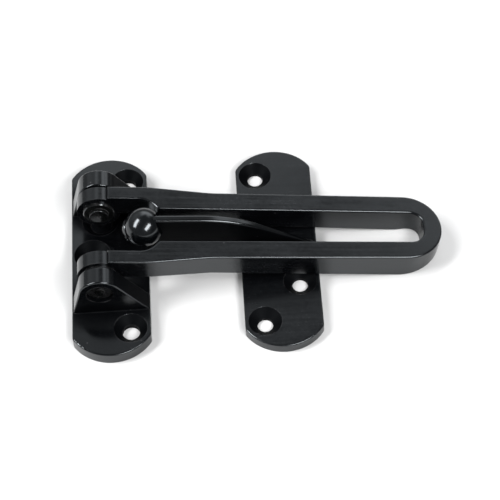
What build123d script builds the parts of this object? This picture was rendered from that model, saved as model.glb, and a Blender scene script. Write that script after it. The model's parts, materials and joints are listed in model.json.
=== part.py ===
from build123d import *

import os
from math import asin, atan2, cos, sin, sqrt

# Swing-bar door guard, in millimetres.
# Origin: centre of the hinge plate's back face. +X runs along the bar to its free end, +Y along the
# hinge pins, +Z out of the door. Both plates' backs and the bar's toe lie in the plane Z = 0.

# Plates
PLATE_WIDTH = 26.0
PLATE_LENGTH = 80.4
PLATE_END_RADIUS = 15.2
PLATE_CORNER_RADIUS = 2.0
PLATE_EDGE_ROUND = 0.5
HINGE_PLATE_THICK = 4.6
KEEPER_PLATE_THICK = 3.7
KEEPER_X = 57.0

# Countersunk screw holes
HINGE_HOLE_R = 2.9
KEEPER_HOLE_R = 2.6
SCREW_HEAD_R = 5.25
CENTRE_HEAD_R = 5.9
SCREW_HEAD_DEPTH = 2.8
RIM_BREAK = 0.35
END_HOLE_Y = 30.0
MID_HOLE_Y = 15.0
HOLE_OFFSET_X = 6.3
CENTRE_HOLE_X = -6.0

# Hinge axis and lugs
PIN_X = -2.8
PIN_Z = 14.7
PIN_R = 3.2
LUG_R = 7.0
LUG_INNER_Y = 16.6
LUG_OUTER_Y = 23.0
LUG_FOOT_HALF = 12.6
LUG_EDGE_ROUND = 0.5
LUG_ROOT_ROUND = 0.4
COUNTERBORE_R = 4.5
COUNTERBORE_DEPTH = 2.1

# Blind pockets in the hinge plate under the knuckles
POCKET_X = -3.1
POCKET_Y = 14.0
POCKET_R = 5.9
POCKET_STEP_R = 5.1
POCKET_STEP_DEPTH = 0.8
POCKET_FLOOR_R = 3.6
POCKET_DEPTH = 2.4
DRILL_POINT_R = 1.3
DRILL_POINT_DEPTH = 0.5

# Swing bar, in its own frame: x along the bar from the hinge axis, z square to its top face
BAR_TILT = 7.2
BAR_TOP = 8.05
BAR_LENGTH = 115.0
BAR_HINGE_HALF = 15.5
BAR_MID_HALF = 13.3
BAR_TIP_HALF = 12.65
BAR_TAPER_START = 16.0
BAR_TAPER_END = 37.0
BAR_BLEND_R = 40.0
SLOT_WIDE_HALF = 10.5
SLOT_SHOULDER_X = 16.0
SLOT_SHOULDER_R = 7.0
SLOT_NECK_HALF = 6.5
SLOT_NECK_X = 19.4
SLOT_NECK_R = 1.6
SLOT_TIP_HALF = 5.9
SLOT_TIP_X = 108.8
SLOT_TIP_R = 4.6
BAR_UNDER_HINGE = -0.3
BAR_UNDER_DEEP = -2.05
BAR_DEEP_X = 101.0
BAR_UNDER_TOE = 1.0
BAR_EDGE_ROUND = 0.6
KNUCKLE_R = 7.4
CROWN_END = 2.2
CROWN_STEP_RUN = 0.5
OVERSHOOT = 3.0
RUNNING_CLEARANCE = 0.05

# Pins and washers
FLANGE_R = 5.3
FLANGE_THICK = 0.8
FLANGE_CHAMFER = 0.3
PIN_BOSS_LENGTH = 1.2
PIN_END_ROUND = 0.25
LATHE_CENTRE_R = 0.55
RIVET_R = 1.35
RIVET_HEAD_R = 1.7
RIVET_HEAD_THICK = 0.5
RIVET_INSET = 0.3
RIVET_WASHER_THICK = 0.5
RIVET_WASHER_PLAY = 0.1
SIDE_CLEARANCE = 0.1
SPRING_WASHER_R = 6.0

# Keeper arm
SOCKET_X = 16.1
ARM_HALF = 1.3
ARM_ROOT_HALF = 0.85
ARM_STRAIGHT_X = 44.0
ARM_END_X = 69.3
ARM_HEEL_X = 51.0
ARM_TOE_HEIGHT = 0.3
ARM_TOP_Z = 23.8
ARM_TOP_CORNER = (42.1, 21.3)
ARM_TOP_BEND_R = 45.0
ARM_NOSE_X = 12.9
ARM_NOSE_TOP = 11.9
ARM_CHIN_Z = 13.1
ARM_UNDER_Z = 7.5
ARM_UNDER_CORNER = (41.5, 8.2)
ARM_UNDER_BEND_R = 14.0
ARM_EDGE_ROUND = 0.75
TENON_LENGTH = 4.0
TENON_XS = (56.0, 64.0)

# Ball, with its spigot and cap set on an axis that rises toward the arm
BALL_X = 12.5
BALL_Z = 19.2
BALL_R = 6.55
BALL_TILT = 16.0
BALL_FLAT = 5.35
SPIGOT_R = 1.2
SPIGOT_END = -6.8
SPIGOT_ROOT = 6.0
CAP_R = 3.95
CAP_SIDE = 0.3
CAP_DOME = 2.0

SIDE_MIN = (Align.MIN, Align.CENTER, Align.CENTER)
SIDE_MAX = (Align.MAX, Align.CENTER, Align.CENTER)
END_MIN = (Align.CENTER, Align.CENTER, Align.MIN)


def plate_blank(thick):
    """Plate with arc ends, in the plane Z = 0, its long edges at +-PLATE_WIDTH / 2."""
    half = PLATE_WIDTH / 2
    arc_centre = PLATE_LENGTH / 2 - PLATE_END_RADIUS
    corner = arc_centre + sqrt(PLATE_END_RADIUS**2 - half**2)
    apex = PLATE_LENGTH / 2
    with BuildPart() as plate:
        with BuildSketch():
            with BuildLine():
                Line((half, -corner), (half, corner))
                ThreePointArc((half, corner), (0, apex), (-half, corner))
                Line((-half, corner), (-half, -corner))
                ThreePointArc((-half, -corner), (0, -apex), (half, -corner))
            outline = make_face()
            fillet(outline.vertices(), PLATE_CORNER_RADIUS)
        extrude(amount=thick)
        fillet(plate.faces().sort_by(Axis.Z)[-1].edges(), PLATE_EDGE_ROUND)
    return plate.part


def screw_hole(x, y, top, radius, head_r):
    """Cutter for one countersunk hole: shank, cone and broken rim, down through the plate."""
    cone_floor = top - SCREW_HEAD_DEPTH
    rim_r = head_r + RIM_BREAK
    profile = Polyline(
        (0, -1), (radius, -1), (radius, cone_floor), (head_r, top - RIM_BREAK),
        (rim_r, top), (rim_r, top + 1), (0, top + 1), (0, -1),
    )
    return Pos(x, y, 0) * revolve(Plane.XZ * make_face(profile), Axis.Z)


def knuckle_pocket(y):
    """Cutter for the blind stepped cone in the hinge plate under a knuckle, with its drill point."""
    top = HINGE_PLATE_THICK
    floor = top - POCKET_DEPTH
    rim_r = POCKET_R + RIM_BREAK
    profile = Polyline(
        (0, floor - DRILL_POINT_DEPTH), (DRILL_POINT_R, floor), (POCKET_FLOOR_R, floor),
        (POCKET_STEP_R, top - POCKET_STEP_DEPTH), (POCKET_R, top - RIM_BREAK), (rim_r, top),
        (rim_r, top + 1), (0, top + 1), (0, floor - DRILL_POINT_DEPTH),
    )
    return Pos(POCKET_X, y, 0) * revolve(Plane.XZ * make_face(profile), Axis.Z)


def on_pin(radius, y0, y1):
    """Cylinder on the hinge axis from y0 to y1."""
    low, high = min(y0, y1), max(y0, y1)
    return Pos(PIN_X, low, PIN_Z) * Rot(-90, 0, 0) * Cylinder(radius, high - low, align=END_MIN)


def ball_place():
    """Ball's own frame: origin at its centre, x up the spigot's axis toward the arm."""
    return Pos(BALL_X, 0, BALL_Z) * Rot(0, -BALL_TILT, 0)


def spigot():
    """Spigot from inside the cap, through the ball, to inside the arm's blade."""
    rod = Rot(0, 90, 0) * Cylinder(SPIGOT_R, SPIGOT_ROOT - SPIGOT_END, align=END_MIN)
    return ball_place() * Pos(SPIGOT_END, 0, 0) * rod


def lug(side):
    """Gusset lug: a foot as wide as the plate and two flanks tangent to the round head."""
    points = []
    for foot_x in (LUG_FOOT_HALF, -LUG_FOOT_HALF):
        dx, dz = PIN_X - foot_x, PIN_Z - HINGE_PLATE_THICK
        reach = sqrt(dx**2 + dz**2)
        turn = asin(LUG_R / reach) * (1 if foot_x < 0 else -1)
        angle = atan2(dz, dx) + turn
        run = sqrt(reach**2 - LUG_R**2)
        points.append((foot_x + run * cos(angle), HINGE_PLATE_THICK + run * sin(angle)))
    right, left = points
    profile = make_face([
        Polyline(left, (-LUG_FOOT_HALF, HINGE_PLATE_THICK), (-LUG_FOOT_HALF, 0), (LUG_FOOT_HALF, 0),
                 (LUG_FOOT_HALF, HINGE_PLATE_THICK), right),
        ThreePointArc(right, (PIN_X, PIN_Z + LUG_R), left),
    ])
    body = extrude(Plane.XZ * profile, amount=-(LUG_OUTER_Y - LUG_INNER_Y))
    body = Pos(0, LUG_INNER_Y, 0) * body
    rims = body.edges().filter_by(lambda e: e.center().Z > HINGE_PLATE_THICK + 1)
    rims = rims.filter_by(lambda e: abs(e.bounding_box().size.Y) < 0.01)
    body = fillet(rims, LUG_EDGE_ROUND)
    return body if side > 0 else mirror(body, about=Plane.XZ)


def lug_root(side):
    """Hollow round where the lug's outer face meets the plate."""
    foot, top, size = LUG_OUTER_Y, HINGE_PLATE_THICK, LUG_ROOT_ROUND
    bend = (foot + size * (1 - sqrt(0.5)), top + size * (1 - sqrt(0.5)))
    profile = make_face([
        Polyline((foot, top + size), (foot - size, top + size), (foot - size, top - size),
                 (foot + size, top - size), (foot + size, top)),
        ThreePointArc((foot + size, top), bend, (foot, top + size)),
    ])
    body = extrude(Plane.YZ * profile, amount=LUG_FOOT_HALF - 2 * size, both=True)
    return body if side > 0 else mirror(body, about=Plane.XZ)


def hinge_plate():
    """Plate, both lugs, pin bores and counterbores, screw holes and knuckle pockets."""
    top = HINGE_PLATE_THICK
    body = plate_blank(top) - knuckle_pocket(POCKET_Y) - knuckle_pocket(-POCKET_Y)
    for side in (1, -1):
        body += lug(side) + lug_root(side)
        floor = side * (LUG_OUTER_Y - COUNTERBORE_DEPTH)
        body -= on_pin(PIN_R, side * (LUG_INNER_Y - 1), floor)
        body -= on_pin(COUNTERBORE_R, floor, side * (LUG_OUTER_Y + 1))
        body -= screw_hole(HOLE_OFFSET_X, side * END_HOLE_Y, top, HINGE_HOLE_R, SCREW_HEAD_R)
    return body - screw_hole(CENTRE_HOLE_X, 0, top, HINGE_HOLE_R, CENTRE_HEAD_R)


def bar_outline():
    """Bar's outer plan: wide at the hinge, drawn in to the arms, round at the toe."""
    toe_centre = BAR_LENGTH - BAR_TIP_HALF
    upper = [
        (0, BAR_HINGE_HALF), (BAR_TAPER_START, BAR_HINGE_HALF), (BAR_TAPER_END, BAR_MID_HALF),
        (toe_centre, BAR_TIP_HALF),
    ]
    lower = [(x, -y) for x, y in upper]
    with BuildSketch() as plan:
        with BuildLine():
            FilletPolyline(*upper, radius=BAR_BLEND_R)
            ThreePointArc(upper[-1], (BAR_LENGTH, 0), lower[-1])
            FilletPolyline(*lower, radius=BAR_BLEND_R)
            Line(lower[0], upper[0])
        make_face()
    return plan.sketch


def slot_outline():
    """Slot with its wide pocket at the hinge, the necked shoulders and a slight taper to the toe."""
    upper = [
        (-KNUCKLE_R - OVERSHOOT, SLOT_WIDE_HALF), (SLOT_SHOULDER_X, SLOT_WIDE_HALF),
        (SLOT_NECK_X, SLOT_NECK_HALF), (SLOT_TIP_X, SLOT_TIP_HALF),
    ]
    lower = [(x, -y) for x, y in reversed(upper)]
    rounds = [SLOT_SHOULDER_R, SLOT_NECK_R, SLOT_TIP_R]
    with BuildSketch() as plan:
        with BuildLine():
            FilletPolyline(*upper, *lower, radius=rounds + rounds[::-1])
            Line(lower[-1], upper[0])
        make_face()
    return plan.sketch


def bar_side():
    """Bar's side profile: flat top, underside that deepens to the toe and is relieved at its end."""
    crown = sqrt(KNUCKLE_R**2 - CROWN_END**2)
    return Polyline(
        (0, BAR_UNDER_HINGE), (BAR_TAPER_START, BAR_UNDER_HINGE), (BAR_DEEP_X, BAR_UNDER_DEEP),
        (BAR_LENGTH, BAR_UNDER_TOE), (BAR_LENGTH, BAR_TOP), (CROWN_END + CROWN_STEP_RUN, BAR_TOP),
        (CROWN_END, crown), (0, crown), (0, BAR_UNDER_HINGE),
    )


def swing_bar():
    """U-shaped bar with its two knuckles, built flat on its own axes and then set at its tilt."""
    reach = KNUCKLE_R + OVERSHOOT
    side = extrude(Plane.XZ * make_face(bar_side()), amount=BAR_HINGE_HALF + 1, both=True)
    body = side & extrude(bar_outline(), amount=reach, both=True)
    body += Rot(90, 0, 0) * Cylinder(KNUCKLE_R, 2 * BAR_HINGE_HALF)
    body -= extrude(slot_outline(), amount=reach, both=True)
    top_face = body.faces().filter_by(lambda f: abs(f.center().Z - BAR_TOP) < 0.01)
    body = fillet(top_face.edges().filter_by(lambda e: e.length > 0.1), BAR_EDGE_ROUND)
    body -= Rot(90, 0, 0) * Cylinder(PIN_R + RUNNING_CLEARANCE, 2 * BAR_HINGE_HALF + 2)
    return Pos(PIN_X, 0, PIN_Z) * Rot(0, BAR_TILT, 0) * body


def hinge_pin(side):
    """Shoulder pin: raised end and flange inside the bar, shank, and rivet end upset over its washer."""
    flange_face = side * (SLOT_WIDE_HALF - RUNNING_CLEARANCE)
    flange_back = flange_face - side * FLANGE_THICK
    boss_end = flange_back - side * PIN_BOSS_LENGTH
    counterbore_floor = side * (LUG_OUTER_Y - COUNTERBORE_DEPTH)
    washer_top = counterbore_floor + side * RIVET_WASHER_THICK
    flange = on_pin(FLANGE_R, flange_back, flange_face)
    flange_rim = flange.edges().filter_by(lambda e: abs(e.center().Y - flange_back) < 0.01)
    flange = chamfer(flange_rim, FLANGE_CHAMFER)
    boss = on_pin(PIN_R, boss_end, flange_back)
    boss = fillet(boss.edges().filter_by(lambda e: abs(e.center().Y - boss_end) < 0.01), PIN_END_ROUND)
    body = flange + boss + on_pin(PIN_R, flange_face, counterbore_floor)
    body += on_pin(RIVET_R, counterbore_floor, side * (LUG_OUTER_Y - RIVET_INSET))
    body += on_pin(RIVET_HEAD_R, washer_top, washer_top + side * RIVET_HEAD_THICK)
    centre = Pos(PIN_X, boss_end, PIN_Z) * Sphere(LATHE_CENTRE_R)
    return body - centre


def rivet_washer(side):
    """Washer on the counterbore's floor."""
    floor = side * (LUG_OUTER_Y - COUNTERBORE_DEPTH)
    top = floor + side * RIVET_WASHER_THICK
    return on_pin(COUNTERBORE_R - RIVET_WASHER_PLAY, floor, top) - on_pin(RIVET_R, floor - side, top + side)


def spring_washer(side):
    """Friction washer in the gap between knuckle and lug."""
    inner = side * (BAR_HINGE_HALF + SIDE_CLEARANCE)
    outer = side * (LUG_INNER_Y - SIDE_CLEARANCE)
    ring = on_pin(SPRING_WASHER_R, inner, outer)
    return ring - on_pin(PIN_R + RUNNING_CLEARANCE, inner - side, outer + side)


def tenon_box(x, low, high):
    """One rectangular tenon of the arm, or its slot in the plate."""
    return Pos(x, 0, low) * Box(TENON_LENGTH, 2 * ARM_ROOT_HALF, high - low, align=END_MIN)


def keeper_plate():
    """Thinner plate with four staggered screw holes and the arm's two tenon slots."""
    body = Pos(KEEPER_X, 0, 0) * plate_blank(KEEPER_PLATE_THICK)
    for side in (1, -1):
        for x, y in ((KEEPER_X - HOLE_OFFSET_X, END_HOLE_Y), (KEEPER_X + HOLE_OFFSET_X, MID_HOLE_Y)):
            body -= screw_hole(x, side * y, KEEPER_PLATE_THICK, KEEPER_HOLE_R, SCREW_HEAD_R)
    for x in TENON_XS:
        body -= tenon_box(x, -1, KEEPER_PLATE_THICK + 1)
    return body


def keeper_arm():
    """Blade on edge: a nose under the ball, a bend down to the plate, tenons and the ball's spigot."""
    root_z = KEEPER_PLATE_THICK
    top_start = (SOCKET_X, ARM_TOP_Z)
    toe = (ARM_END_X, root_z + ARM_TOE_HEIGHT)
    heel = (ARM_HEEL_X, root_z)
    nose = [(ARM_NOSE_X, ARM_UNDER_Z), (ARM_NOSE_X, ARM_NOSE_TOP), (SOCKET_X, ARM_CHIN_Z)]
    with BuildSketch(Plane.XZ) as side:
        with BuildLine():
            FilletPolyline(top_start, ARM_TOP_CORNER, toe, radius=ARM_TOP_BEND_R)
            Polyline(toe, (ARM_END_X, root_z), heel)
            FilletPolyline(heel, ARM_UNDER_CORNER, nose[0], radius=ARM_UNDER_BEND_R)
            Polyline(*nose, top_start)
        make_face()
    blade = extrude(side.sketch, amount=ARM_HALF + 1, both=True)
    far_side = [(ARM_NOSE_X - 1, ARM_HALF), (ARM_STRAIGHT_X, ARM_HALF), (ARM_END_X + 1, ARM_ROOT_HALF)]
    near_side = [(x, -y) for x, y in reversed(far_side)]
    taper = make_face(Polyline(*far_side, *near_side, far_side[0]))
    body = blade & extrude(taper, amount=ARM_TOP_Z + 5)
    rims = body.edges().filter_by(lambda e: e.length > 10 and abs(e.center().Y) > ARM_ROOT_HALF - 0.1)
    body = fillet(rims.filter_by(lambda e: e.center().Z > root_z + 1), ARM_EDGE_ROUND)
    for x in TENON_XS:
        body += tenon_box(x, 0, root_z)
    return body + spigot()


def ball():
    """Ball with a flat at each end of its axis, the spigot's bore and the slot for the arm's blade."""
    size = 4 * BALL_R
    body = Sphere(BALL_R)
    body -= Pos(-BALL_FLAT, 0, 0) * Box(BALL_R, size, size, align=SIDE_MAX)
    body -= Pos(BALL_FLAT, 0, 0) * Box(BALL_R, size, size, align=SIDE_MIN)
    body = ball_place() * body - spigot()
    return body - Pos(SOCKET_X, 0, BALL_Z) * Box(2 * BALL_R, 2 * ARM_HALF, size, align=SIDE_MIN)


def ball_cap():
    """Domed cap pressed on the spigot against the ball's lower flat."""
    rim = -BALL_FLAT - CAP_SIDE
    apex = rim - CAP_DOME
    dome_r = (CAP_R**2 + CAP_DOME**2) / (2 * CAP_DOME)
    half_turn = asin(CAP_R / dome_r) / 2
    shoulder = (apex + dome_r * (1 - cos(half_turn)), dome_r * sin(half_turn))
    profile = make_face([
        Polyline((rim, CAP_R), (-BALL_FLAT, CAP_R), (-BALL_FLAT, 0), (apex, 0)),
        ThreePointArc((apex, 0), shoulder, (rim, CAP_R)),
    ])
    return ball_place() * revolve(Plane.XZ * profile, Axis.X) - spigot()


NODES = {
    "hinge_plate": hinge_plate(),
    "swing_bar": swing_bar(),
    "hinge_pin_near": hinge_pin(-1),
    "hinge_pin_far": hinge_pin(1),
    "rivet_washer_near": rivet_washer(-1),
    "rivet_washer_far": rivet_washer(1),
    "spring_washer_near": spring_washer(-1),
    "spring_washer_far": spring_washer(1),
    "keeper_plate": keeper_plate(),
    "keeper_arm": keeper_arm(),
    "ball": ball(),
    "ball_cap": ball_cap(),
}

os.makedirs("parts", exist_ok=True)
for name, shape in NODES.items():
    export_step(shape, f"parts/{name}.step")
    box = shape.bounding_box()
    print(name, "volume", round(shape.volume, 1), "low", box.min, "high", box.max)
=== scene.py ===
import json
import math

import bpy
from mathutils import Matrix, Vector


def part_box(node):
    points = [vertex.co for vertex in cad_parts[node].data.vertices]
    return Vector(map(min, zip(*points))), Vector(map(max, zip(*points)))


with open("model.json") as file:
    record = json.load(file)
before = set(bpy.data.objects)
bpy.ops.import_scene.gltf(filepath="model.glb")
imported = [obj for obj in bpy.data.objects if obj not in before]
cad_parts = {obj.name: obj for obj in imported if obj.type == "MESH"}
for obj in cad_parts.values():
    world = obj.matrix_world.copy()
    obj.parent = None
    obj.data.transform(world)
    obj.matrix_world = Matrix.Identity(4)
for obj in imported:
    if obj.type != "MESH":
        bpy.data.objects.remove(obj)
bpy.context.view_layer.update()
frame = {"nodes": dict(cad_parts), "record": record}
NODES = frame["nodes"]

MM = 0.001

# Camera, fitted to the photograph's angle and perspective
LENS = 133.23
SENSOR = 36.0
CLIP_START = 0.01
CLIP_END = 20.0
CAMERA_AT = Vector((47.326, 1.261, 0.0)) * MM
CAMERA_DISTANCE = 631.26 * MM
CAMERA_ELEVATION = math.radians(55.335)
CAMERA_YAW = math.radians(0.888)
CAMERA_ROLL = math.radians(-2.880)

# Softboxes: the directions in which the upper and lower end of each are seen from the object
LEFT_BOX = ((-0.432, 0.207, 0.878), (-0.807, -0.311, 0.502))
RIGHT_BOX = ((0.596, -0.262, 0.759), (0.175, -0.797, 0.578))
BOX_DISTANCE = 1.2
BOX_TARGET = Vector((30.0, 0.0, 12.0)) * MM
BOX_WIDTH = 0.34
BOX_RADIANCE = 18.0

# Surroundings: colour, brightness of the dim room and of the glow and the window behind the object,
# and how far the glow's upper edge slants down to the right
SKY = (0.97, 0.985, 1.0, 1.0)
ROOM_LOW = 0.35
ROOM_HIGH = 0.22
ROOM_NEAR = 0.7
ROOM_RIGHT = 0.4
GLOW = 2.2
GLOW_LEFT = 0.15
WINDOW = 1.4
GLOW_SLANT = 0.36

# Where each fade begins and ends, on one axis of the direction looked in
ROOM_UP = (0.55, 0.95)
ROOM_AWAY = (-0.7, 0.6)
ROOM_ACROSS = (0.45, 0.75)
GLOW_FOOT = (0.30, 0.48)
GLOW_HEAD = (0.70, 0.86)
GLOW_START = (-0.28, 0.05)
GLOW_END = (0.58, 0.72)
WINDOW_LEFT = (0.24, 0.36)
WINDOW_RIGHT = (0.45, 0.60)
WINDOW_FOOT = (0.55, 0.70)
WINDOW_HEAD = (0.74, 0.84)
BEHIND = (0.25, 0.55)

# Floor
FLOOR_HALF = 1.6
FLOOR_AT = Vector((48.0, 0.0, -0.2)) * MM
FLOOR_WHITE = 0.62
FLOOR_ROUGHNESS = 0.9
FLOOR_GLOSS = 0.1

# Coating: noise, as scale per metre, detail and roughness, and the spans of noise that are used
PATCHES = (55.0, 3.0, 0.6)
PATCH_SPAN = (0.35, 0.68)
TEXTURE = (900.0, 3.0, 0.6)
SHEEN_SPAN = (0.36, 0.64)
BUMP_STRENGTH = 0.35
BUMP_DEPTH = 0.06 * MM
SPECULAR_TINT = (0.90, 0.96, 1.0, 1.0)

# Brushed lines: noise on stretched coordinates, and how it changes roughness and colour
GRAIN = (1.0, 3.0, 0.65)
GRAIN_SPAN = (0.3, 0.7)
GRAIN_ROUGHNESS = 0.05
GRAIN_PALE_SPAN = (0.45, 0.75)
GRAIN_COVER = 0.18
GRAIN_BRIGHTER = 2.0

# Dust and chips: scale per metre, the share of cells without any, and their size within a cell
SPECK_SCALE = 620.0
SPECK_FREE = 0.965
SPECK_EDGE = (0.10, 0.22)
SPECK_COVER = 0.5
SPECK_DEPTH = 0.3
SPECK_COLOUR = (0.05, 0.05, 0.053, 1.0)

# Pale edges, partly worn paint and partly a painted highlight for the bright thin edge lines: how far in
# from an edge, the cosines of the rounded normal's turn at which the paling starts and is full, and the
# noise that breaks it up
WORN_GLINT_RADIUS = 0.5 * MM
WORN_GLINT_SAMPLES = 6
WORN_GLINT_TURN = (0.99, 0.86)
WORN_GLINT_NOISE = (180.0, 4.0, 0.7)
WORN_GLINT_SPAN = (0.42, 0.62)
WORN_GLINT_COLOUR = (0.07, 0.07, 0.072, 1.0)

# Dull places: how far off walls close a recess in, the usual and the bar's spans of openness, the
# cosines at which an unfinished face starts to be and is fully dull, and what dullness does
RECESS_REACH = 9.0 * MM
RECESS_SAMPLES = 8
RECESS = (0.97, 0.86)
BAR_RECESS = (0.88, 0.60)
UNFINISHED_TURN = (0.93, 0.99)
DULL_ROUGHNESS = 0.38
DULL_LOSS = 0.92

# Bar's tilt about the hinge axis, so that its grain runs along it
BAR_TILT = math.radians(7.2)

# Ways that unfinished faces look: the lugs' sloping flanks, and the arm's two sides
LUG_SLOPE = (0.825, 0.0, 0.565)
ARM_SIDES = (0.0, 1.0, 0.0)

# Countersinks: the plates' tops, and how far out and how near the top the dull coating goes
HINGE_TOP = 4.6 * MM
KEEPER_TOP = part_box("keeper_plate")[1].z
SINK_RADIUS = 6.2 * MM
SINK_RIM = 0.1 * MM


def placed(x_axis, y_axis, z_axis, at):
    """Matrix of something at a point, with the directions of its three axes."""
    matrix = Matrix((x_axis, y_axis, z_axis)).transposed().to_4x4()
    matrix.translation = at
    return matrix


def add_camera():
    """Camera aimed at CAMERA_AT, with its yaw, elevation and roll."""
    yaw, elevation, roll = CAMERA_YAW, CAMERA_ELEVATION, CAMERA_ROLL
    level = math.cos(elevation)
    forward = Vector((math.sin(yaw) * level, math.cos(yaw) * level, -math.sin(elevation)))
    right = Vector((math.cos(yaw), -math.sin(yaw), 0.0))
    down = forward.cross(right)
    image_x = math.cos(roll) * right - math.sin(roll) * down
    image_y = math.sin(roll) * right + math.cos(roll) * down
    data = bpy.data.cameras.new("camera")
    data.lens = LENS
    data.sensor_width = SENSOR
    data.clip_start = CLIP_START
    data.clip_end = CLIP_END
    camera = bpy.data.objects.new("camera", data)
    camera.matrix_world = placed(image_x, -image_y, -forward, CAMERA_AT - CAMERA_DISTANCE * forward)
    bpy.context.scene.collection.objects.link(camera)
    bpy.context.scene.camera = camera


def softbox(name, upper, lower):
    """Rectangular light whose two ends are seen from the object in the directions upper and lower."""
    upper, lower = Vector(upper).normalized(), Vector(lower).normalized()
    out = (upper + lower).normalized()
    along = (upper - lower).normalized()
    length = 2.0 * BOX_DISTANCE * math.tan(upper.angle(lower) / 2.0)
    data = bpy.data.lights.new(name, "AREA")
    data.shape = "RECTANGLE"
    data.size = BOX_WIDTH
    data.size_y = length
    data.energy = BOX_RADIANCE * math.pi * BOX_WIDTH * length
    light = bpy.data.objects.new(name, data)
    light.matrix_world = placed(along.cross(out), along, out, BOX_TARGET + BOX_DISTANCE * out)
    bpy.context.scene.collection.objects.link(light)


def add_floor():
    """Pale floor the parts lie on."""
    mesh = bpy.data.meshes.new("floor")
    corners = ((-1, -1), (1, -1), (1, 1), (-1, 1))
    mesh.from_pydata([(x * FLOOR_HALF, y * FLOOR_HALF, 0) for x, y in corners], [], [(0, 1, 2, 3)])
    floor = bpy.data.objects.new("floor", mesh)
    floor.location = FLOOR_AT
    material = bpy.data.materials.new("floor_white")
    material.use_nodes = True
    shader = material.node_tree.nodes["Principled BSDF"]
    shader.inputs["Base Color"].default_value = (FLOOR_WHITE, FLOOR_WHITE, FLOOR_WHITE, 1.0)
    shader.inputs["Roughness"].default_value = FLOOR_ROUGHNESS
    shader.inputs["Specular IOR Level"].default_value = FLOOR_GLOSS
    mesh.materials.append(material)
    bpy.context.scene.collection.objects.link(floor)


class Nodes:
    """Small helper that adds nodes to a tree and links them."""

    def __init__(self, tree):
        self.tree = tree

    def add(self, kind, inputs=None, **settings):
        """New node with these settings, its inputs given by name or number."""
        node = self.tree.nodes.new(kind)
        for key, value in settings.items():
            setattr(node, key, value)
        for key, value in (inputs or {}).items():
            self.put(node, key, value)
        return node

    def put(self, node, key, value):
        """Links a node's input to another node's output, or sets it to a plain value."""
        socket = node.inputs[key]
        if isinstance(value, bpy.types.NodeSocket):
            self.tree.links.new(value, socket)
        else:
            socket.default_value = value

    def math(self, operation, a, b=0.0):
        """Math on two values. ABSOLUTE takes only the first."""
        return self.add("ShaderNodeMath", {0: a, 1: b}, operation=operation).outputs[0]

    def product(self, first, *others):
        """Two or more values multiplied."""
        for other in others:
            first = self.math("MULTIPLY", first, other)
        return first

    def vector_math(self, operation, a, b, output):
        """Math on two vectors. The result is in the output of that name."""
        return self.add("ShaderNodeVectorMath", {0: a, 1: b}, operation=operation).outputs[output]

    def mix(self, factor, a, b):
        """Colour that goes from a to b."""
        return self.add("ShaderNodeMix", {0: factor, 6: a, 7: b}, data_type="RGBA").outputs[2]

    def noise(self, place, scale, detail, rough):
        """Smooth noise, about 0 to 1."""
        inputs = {"Vector": place, "Scale": scale, "Detail": detail, "Roughness": rough}
        return self.add("ShaderNodeTexNoise", inputs).outputs["Fac"]

    def ramp(self, value, low, high, to_low=0.0, to_high=1.0, kind="LINEAR"):
        """Value from low to high, taken to to_low to to_high and held at both ends."""
        inputs = {0: value, 1: low, 2: high, 3: to_low, 4: to_high}
        return self.add("ShaderNodeMapRange", inputs, interpolation_type=kind).outputs[0]

    def fade(self, value, low, high, to_low=0.0, to_high=1.0):
        """Ramp with soft ends."""
        return self.ramp(value, low, high, to_low, to_high, "SMOOTHSTEP")


def add_world():
    """Dim room, with a soft glow low down behind the object and a small window over its right half."""
    world = bpy.data.worlds.new("studio")
    bpy.context.scene.world = world
    world.use_nodes = True
    n = Nodes(world.node_tree)
    background = world.node_tree.nodes["Background"]
    direction = n.add("ShaderNodeTexCoord").outputs["Generated"]
    x, y, z = n.add("ShaderNodeSeparateXYZ", {0: direction}).outputs
    room = n.product(
        n.fade(z, *ROOM_UP, ROOM_LOW, ROOM_HIGH),
        n.fade(y, *ROOM_AWAY, ROOM_NEAR, 1.0),
        n.fade(x, *ROOM_ACROSS, 1.0, ROOM_RIGHT),
    )
    slanted = n.math("ADD", z, n.product(x, GLOW_SLANT))
    glow = n.product(
        n.fade(z, *GLOW_FOOT),
        n.fade(slanted, *GLOW_HEAD, 1.0, 0.0),
        n.fade(x, *GLOW_START, GLOW_LEFT, 1.0),
        n.fade(x, *GLOW_END, 1.0, 0.0),
        GLOW,
    )
    window = n.product(
        n.fade(x, *WINDOW_LEFT),
        n.fade(x, *WINDOW_RIGHT, 1.0, 0.0),
        n.fade(z, *WINDOW_FOOT),
        n.fade(z, *WINDOW_HEAD, 1.0, 0.0),
        WINDOW,
    )
    behind = n.product(n.math("ADD", glow, window), n.fade(y, *BEHIND))
    n.put(background, "Color", SKY)
    n.put(background, "Strength", n.math("ADD", room, behind))


def countersinks(top, *mounts):
    """Centres of the holes of these mounts of the record, at the height of their plate's top."""
    centres = set()
    for mount in frame["record"]["mounts"]:
        if mount["name"] in mounts:
            x, y, _ = mount["pos_m"]
            half = mount["dims"].get("spacing_y_mm", 0.0) / 2.0 * MM
            centres |= {(x, y - half, top), (x, y + half, top)}
    return sorted(centres)


def specks(n, place):
    """Where dust and tiny chips are, 0 to 1."""
    cells = n.add("ShaderNodeTexVoronoi", {"Vector": place, "Scale": SPECK_SCALE, "Randomness": 1.0})
    lot = n.add("ShaderNodeSeparateColor", {0: cells.outputs["Color"]}).outputs[0]
    return n.product(
        n.ramp(cells.outputs["Distance"], *SPECK_EDGE, 1.0, 0.0), n.math("GREATER_THAN", lot, SPECK_FREE)
    )


def worn_and_glinting_edges(n, place, normal):
    """How pale an edge is painted, 0 to 1, partly as worn paint and partly as a painted highlight: the
    rounded normal leaves the true one only near an edge.
    """
    rounded = n.add("ShaderNodeBevel", {"Radius": WORN_GLINT_RADIUS}, samples=WORN_GLINT_SAMPLES).outputs[0]
    edge = n.ramp(n.vector_math("DOT_PRODUCT", rounded, normal, "Value"), *WORN_GLINT_TURN)
    return n.product(edge, n.ramp(n.noise(place, *WORN_GLINT_NOISE), *WORN_GLINT_SPAN))


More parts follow.
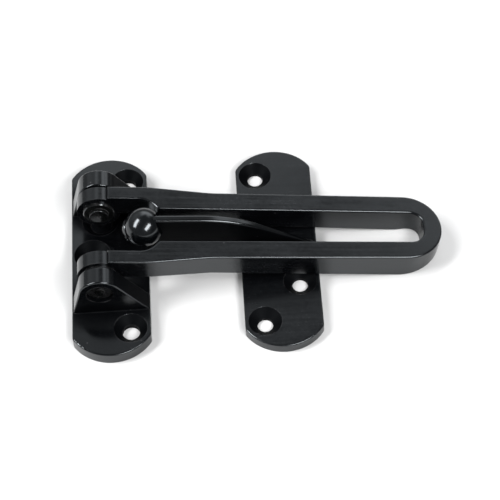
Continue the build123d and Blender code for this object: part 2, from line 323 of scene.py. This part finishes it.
def dullness(n, place, normal, recess, unfinished, sinks):
    """How dull the coating is, 0 to 1: in recesses, on unfinished faces and in countersinks."""
    around = n.add(
        "ShaderNodeAmbientOcclusion", {"Distance": RECESS_REACH}, samples=RECESS_SAMPLES, only_local=True
    )
    dull = n.ramp(around.outputs["AO"], *recess)
    if unfinished:
        along = n.vector_math("DOT_PRODUCT", normal, unfinished, "Value")
        dull = n.math("MAXIMUM", dull, n.ramp(n.math("ABSOLUTE", along), *UNFINISHED_TURN))
    if sinks:
        flat = n.vector_math("MULTIPLY", place, (1.0, 1.0, 0.0), "Vector")
        height = n.add("ShaderNodeSeparateXYZ", {0: place}).outputs["Z"]
    for x, y, top in sinks:
        away = n.vector_math("DISTANCE", flat, (x, y, 0.0), "Value")
        near = n.math("LESS_THAN", away, SINK_RADIUS)
        below = n.math("LESS_THAN", height, top - SINK_RIM)
        dull = n.math("MAXIMUM", dull, n.product(near, below))
    return dull


def black_coat(
    name, dark, light, rough, gloss=0.58, grain=None, grain_depth=0.2, orange=0.06, worn_glint_level=0.35, turn=0.0,
    unfinished=None, recess=RECESS, sinks=(),
):
    """Black coating on metal: mottled colour, dust and pits, fine texture, and paler edges, partly worn
    and partly a painted highlight.

    dark, light: the two colours it drifts between; rough: lowest and highest roughness; gloss: how much
    it mirrors in the open; grain: stretch of the brushed lines along x, y, z in the piece's own axes, or
    None; grain_depth: the lines' height; orange: the fine texture's height; worn_glint_level: how pale
    edges are painted, partly as worn paint and partly as a painted highlight; turn: the grain's tilt
    about Y;
    unfinished: a direction whose faces, both ways, are left dull; recess: how open the shiniest and
    dullest places are; sinks: dull countersinks' centres, at the plate's top.
    """
    material = bpy.data.materials.new(name)
    material.use_nodes = True
    n = Nodes(material.node_tree)
    shader = material.node_tree.nodes["Principled BSDF"]
    place = n.add("ShaderNodeTexCoord").outputs["Object"]
    normal = n.add("ShaderNodeNewGeometry").outputs["Normal"]
    patches = n.noise(place, *PATCHES)
    fine = n.noise(place, *TEXTURE)
    speck = specks(n, place)
    colour = n.mix(n.ramp(patches, *PATCH_SPAN), (*dark, 1.0), (*light, 1.0))
    colour = n.mix(n.product(speck, SPECK_COVER), colour, SPECK_COLOUR)
    # pale edges: partly worn paint, partly a painted highlight for the bright thin lines along edges and
    # rims
    colour = n.mix(n.product(worn_and_glinting_edges(n, place, normal), worn_glint_level), colour, WORN_GLINT_COLOUR)

    average = n.math("ADD", n.product(fine, 0.5), n.product(patches, 0.5))
    roughness = n.ramp(average, *SHEEN_SPAN, *rough)
    height = n.product(fine, orange)
    if grain:
        turned = n.add("ShaderNodeMapping", {"Vector": place, "Rotation": (0.0, turn, 0.0)}).outputs[0]
        stretched = n.add("ShaderNodeMapping", {"Vector": turned, "Scale": grain}).outputs[0]
        lines = n.noise(stretched, *GRAIN)
        height = n.math("ADD", height, n.product(lines, grain_depth))
        rougher = n.ramp(lines, *GRAIN_SPAN, -GRAIN_ROUGHNESS, GRAIN_ROUGHNESS)
        roughness = n.math("ADD", roughness, rougher)
        pale = (*[GRAIN_BRIGHTER * channel for channel in light], 1.0)
        colour = n.mix(n.ramp(lines, *GRAIN_PALE_SPAN, 0.0, GRAIN_COVER), colour, pale)
    height = n.math("SUBTRACT", height, n.product(speck, SPECK_DEPTH))
    bump = n.add("ShaderNodeBump", {"Height": height, "Strength": BUMP_STRENGTH, "Distance": BUMP_DEPTH})

    # holes and corners keep dust and thin paint, so they shine less
    dull = dullness(n, place, normal, recess, unfinished, sinks)
    roughness = n.math("ADD", roughness, n.product(dull, DULL_ROUGHNESS))
    shine = n.product(n.math("SUBTRACT", 1.0, n.product(dull, DULL_LOSS)), gloss)

    n.put(shader, "Base Color", colour)
    n.put(shader, "Roughness", roughness)
    n.put(shader, "Normal", bump.outputs[0])
    n.put(shader, "Specular IOR Level", shine)
    n.put(shader, "Specular Tint", SPECULAR_TINT)
    return material


def dress(name, material):
    """Gives a CAD node its material."""
    mesh = NODES[name].data
    mesh.materials.clear()
    mesh.materials.append(material)


settings = bpy.context.scene.view_settings
settings.view_transform = "Standard"
settings.look = "None"

add_camera()
add_floor()
add_world()
softbox("left_box", *LEFT_BOX)
softbox("right_box", *RIGHT_BOX)

cast = black_coat(
    "cast_black", dark=(0.0006, 0.0007, 0.0010), light=(0.0015, 0.0017, 0.0022), rough=(0.10, 0.20),
    worn_glint_level=0.6, unfinished=LUG_SLOPE,
    sinks=countersinks(HINGE_TOP, "hinge_end_screws", "hinge_centre_screw"),
)
plate = black_coat(
    "plate_black", dark=(0.0006, 0.0007, 0.0010), light=(0.0017, 0.0019, 0.0024), rough=(0.15, 0.26),
    grain=(35.0, 1500.0, 1500.0), grain_depth=0.12, worn_glint_level=0.5,
    sinks=countersinks(KEEPER_TOP, "keeper_end_screws", "keeper_mid_screws"),
)
bar = black_coat(
    "bar_black", dark=(0.0007, 0.0008, 0.0011), light=(0.0018, 0.0020, 0.0026), rough=(0.15, 0.26),
    grain=(30.0, 1300.0, 1300.0), grain_depth=0.08, turn=-BAR_TILT, recess=BAR_RECESS,
)
arm = black_coat(
    "arm_black", dark=(0.0006, 0.0007, 0.0009), light=(0.0014, 0.0016, 0.0020), rough=(0.10, 0.18),
    orange=0.04, unfinished=ARM_SIDES,
)
ball = black_coat(
    "ball_black", dark=(0.0008, 0.0011, 0.0014), light=(0.0016, 0.0020, 0.0025), rough=(0.12, 0.19),
    orange=0.03,
)
# pin edges paled fully: a painted highlight for the bright rings on its flanges, with some worn paint
pin = black_coat(
    "pin_black", dark=(0.0010, 0.0011, 0.0011), light=(0.0024, 0.0026, 0.0024), rough=(0.09, 0.17),
    orange=0.04, worn_glint_level=1.0,
)
washer = black_coat(
    "washer_dark", dark=(0.003, 0.003, 0.0031), light=(0.007, 0.007, 0.0071), rough=(0.22, 0.36)
)

for piece, material in (
    ("hinge_plate", cast), ("keeper_plate", plate), ("swing_bar", bar), ("keeper_arm", arm),
    ("ball", ball), ("ball_cap", ball),
):
    dress(piece, material)
for side in ("near", "far"):
    dress(f"hinge_pin_{side}", pin)
    dress(f"rivet_washer_{side}", washer)
    dress(f"spring_washer_{side}", washer)
